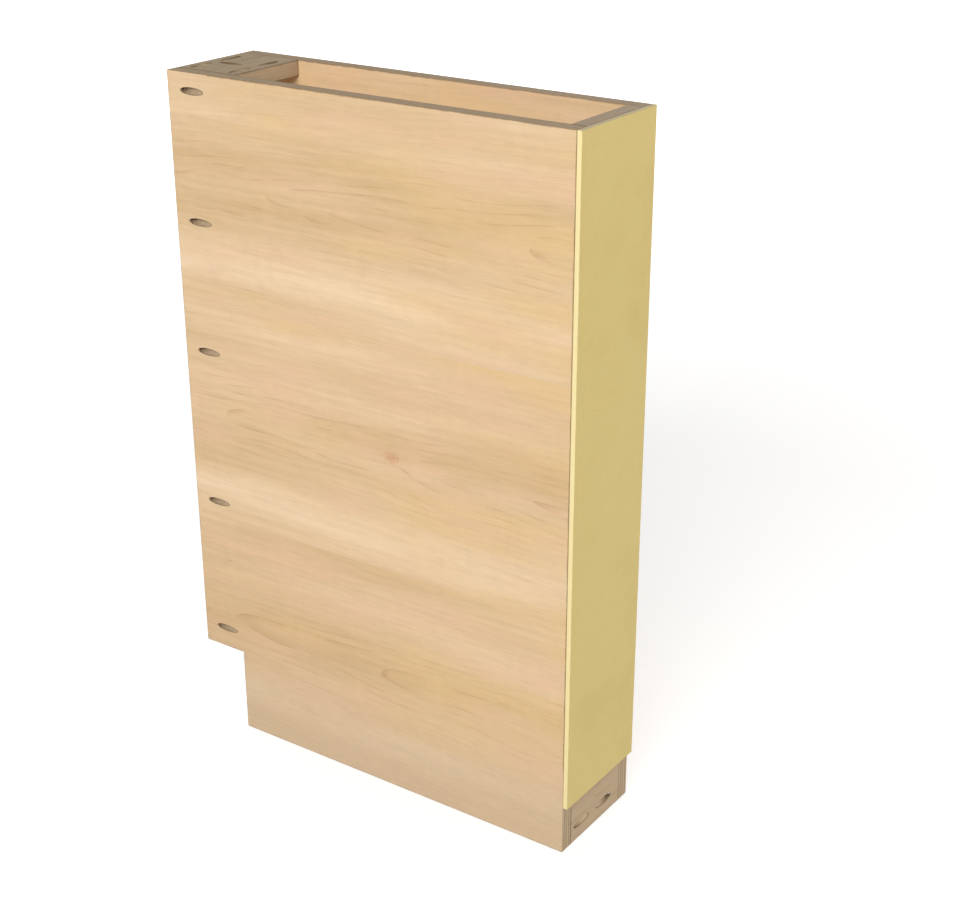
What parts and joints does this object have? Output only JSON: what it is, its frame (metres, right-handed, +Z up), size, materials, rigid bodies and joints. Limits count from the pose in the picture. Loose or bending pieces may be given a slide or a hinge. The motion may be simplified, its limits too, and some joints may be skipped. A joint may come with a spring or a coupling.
{
  "type": "tray base cabinet",
  "caption": "Tall narrow plywood base cabinet carcass with an open front and top, toe recess, bottom shelf, thin back and pocket-screwed cross boards, for trays stood on edge.",
  "frame": {"origin": "on the floor, at the centre of the footprint", "axes": "+Z up; the open front towards -Y and the back towards +Y; +X to the right as seen from the front"},
  "size_m": [0.1524, 0.5716, 0.8763],
  "materials": {
    "plywood": "bare sanded 19 mm hardwood plywood, pale maple-like face veneer with its grain along the depth",
    "solid_board": "bare planed solid board, 19 mm thick, with its grain along the width",
    "back_sheet": "bare 6.35 mm sheet, an even straw yellow",
    "zinc_screw": "bright zinc plate",
    "brad_steel": "bare bright steel"
  },
  "bodies": {
    "root": {"right_side_panel": "plywood", "left_side_panel": "plywood", "front_top_stretcher": "solid_board", "rear_top_rail": "solid_board", "bottom_shelf": "plywood", "toe_kick_board": "solid_board", "rear_base_board": "solid_board", "back_panel": "back_sheet", "front_top_stretcher_screws_right": "zinc_screw", "front_top_stretcher_screws_left": "zinc_screw", "rear_top_rail_screws_right": "zinc_screw", "rear_top_rail_screws_left": "zinc_screw", "bottom_shelf_screws_right": "zinc_screw", "bottom_shelf_screws_left": "zinc_screw", "toe_kick_board_screws_right": "zinc_screw", "toe_kick_board_screws_left": "zinc_screw", "rear_base_board_screws_right": "zinc_screw", "rear_base_board_screws_left": "zinc_screw", "back_brads_right": "brad_steel", "back_brads_left": "brad_steel", "back_brads_rail": "brad_steel", "back_brads_shelf": "brad_steel", "back_brads_base": "brad_steel"}
  },
  "joints": []
}
